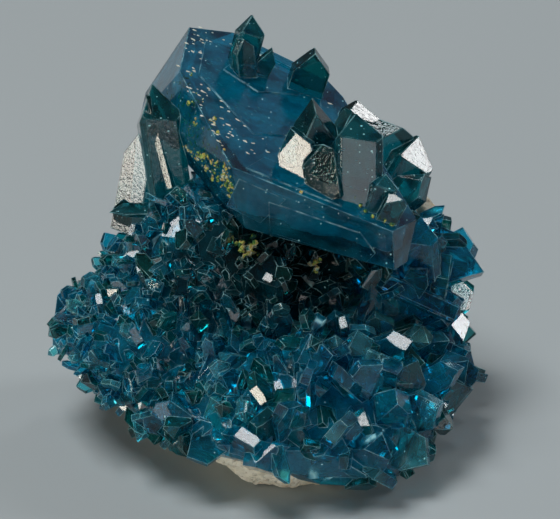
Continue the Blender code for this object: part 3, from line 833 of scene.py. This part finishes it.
def crumb_material(name, *stops):
    """Crumbs of the host rock, some bleached and some stained by iron and copper."""
    material, tree, shader, output = blank_material(name)
    place = add(tree, "ShaderNodeTexCoord")
    patches = add(tree, "ShaderNodeTexNoise", {"Vector": place.outputs["Object"]},
                  values={"Scale": 1100.0, "Detail": 3.0, "Roughness": 0.7})
    colour = ramp(add(tree, "ShaderNodeValToRGB", {"Fac": patches.outputs["Fac"]}), *stops)
    tree.links.new(colour.outputs["Color"], shader.inputs["Base Color"])
    grains = add(tree, "ShaderNodeTexNoise", {"Vector": place.outputs["Object"]},
                 values={"Scale": 6000.0, "Detail": 2.0, "Roughness": 0.6})
    bump = add(tree, "ShaderNodeBump", {"Height": grains.outputs["Fac"]}, values={"Strength": 0.4, "Distance": 0.00005})
    tree.links.new(bump.outputs["Normal"], shader.inputs["Normal"])
    shader.inputs["Roughness"].default_value = 0.8
    return material


def floor_material():
    material, tree, shader, output = blank_material("matt_pale_paper")
    shader.inputs["Base Color"].default_value = linear("#acb5b8")
    shader.inputs["Roughness"].default_value = 0.8
    return material


def dress(obj, material, node, name):
    obj.name = name
    obj.data.name = name
    obj.data.materials.clear()
    obj.data.materials.append(material)
    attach(obj, "root")
    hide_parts(node)


large = make_large_crystal()
core = make_cloudy_core()
dust, stain = make_crumbs()
crust = make_crust()
rock = make_rock()
remove(unit_crystals.values())

teal = crystal_material(
    "clear_teal_crystal", (0.0, 0.87, 0.91, 1.0), 900.0, "#089cc0",
    ((0.0, "#12605e"), (0.5, "#1a7a80"), (1.0, "#3096a4")),
    grain=2.6, dusty=0.5, milk=0.13,
)
dark_teal = crystal_material(
    "dark_teal_crystal", (0.0, 0.85, 0.90, 1.0), 850.0, "#20a8b8",
    ((0.0, "#0c7c74"), (0.35, "#14a2a8"), (0.7, "#20b8e0"), (1.0, "#90f8f8")),
    grain=0.4, dusty=0.2, milk=0.09,
)
dress(large, teal, "large_crystal", "tabular_crystal")
dress(crust, dark_teal, "druse_crust", "crystal_crust")
dress(rock, rock_material(), "host_rock", "crumbly_rock")
core.data.materials.clear()
core.data.materials.append(core_material())
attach(core, "root")
for piece, finish in (
    (dust, crumb_material("bleached_rock_dust", (0.3, "#b9c4b4"), (0.6, "#e9ecdf"))),
    (stain, crumb_material("stained_rock_crumbs", (0.36, "#14504c"), (0.43, "#4f8434"), (0.48, "#c0cc6c"), (0.53, "#a07430"), (0.58, "#dce4c0"), (0.66, "#247874"))),
):
    piece.data.materials.clear()
    piece.data.materials.append(finish)
    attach(piece, "root")

# --- stage, light and camera ---

deselect()
bpy.ops.mesh.primitive_plane_add(size=3.0)
floor = bpy.context.object
floor.name = "paper_floor"
floor.data.materials.append(floor_material())

world = bpy.data.worlds.new("studio")
bpy.context.scene.world = world
world.use_nodes = True
world.node_tree.nodes["Background"].inputs["Color"].default_value = linear("#f2f4f6")
world.node_tree.nodes["Background"].inputs["Strength"].default_value = 0.05


def softbox(name, azimuth, elevation, distance, size, strength, colour="#ffffff"):
    """A square light facing the specimen. Azimuth is 0 towards the camera and 90 to its right."""
    deselect()
    turn = math.radians(azimuth)
    rise = math.radians(elevation)
    way = Vector((math.sin(turn) * math.cos(rise), -math.cos(turn) * math.cos(rise), math.sin(rise)))
    spot = Vector((0, 0, 0.02)) + way * distance
    bpy.ops.object.light_add(type="AREA", location=spot)
    light = bpy.context.object
    light.name = name
    light.rotation_euler = way.to_track_quat("Z", "Y").to_euler()
    light.data.shape = "SQUARE"
    light.data.size = size
    light.data.energy = strength
    light.data.color = linear(colour)[:3]
    return light


softbox("key_softbox", -27, 5, 0.6, 0.12, 0.75, "#fff4e2")
softbox("left_softbox", -98, 6, 0.6, 0.13, 0.52, "#fff8ec")
softbox("front_softbox", 14, 7, 0.7, 0.30, 0.5)
softbox("right_softbox", 104, 32, 0.7, 0.14, 0.9)
softbox("rear_softbox", 145, 43, 0.8, 0.09, 0.4)
softbox("top_softbox", -70, 72, 0.9, 0.40, 5.2)
softbox("back_panel", 150, 28, 0.9, 0.40, 0.09, "#c9c4ee")

bpy.ops.object.camera_add(location=(CAMERA_AT - SPECIMEN_MIDDLE) * MM)
camera = bpy.context.object
camera.name = "camera"
camera.rotation_euler = (CAMERA_AT - CAMERA_TARGET).to_track_quat("Z", "Y").to_euler()
camera.data.lens = CAMERA_LENS
camera.data.sensor_width = CAMERA_SENSOR
camera.data.sensor_fit = "HORIZONTAL"
camera.data.clip_start = 0.01
camera.data.clip_end = 10.0
camera.data.dof.use_dof = False
bpy.context.scene.camera = camera
bpy.context.scene.view_settings.view_transform = "Standard"
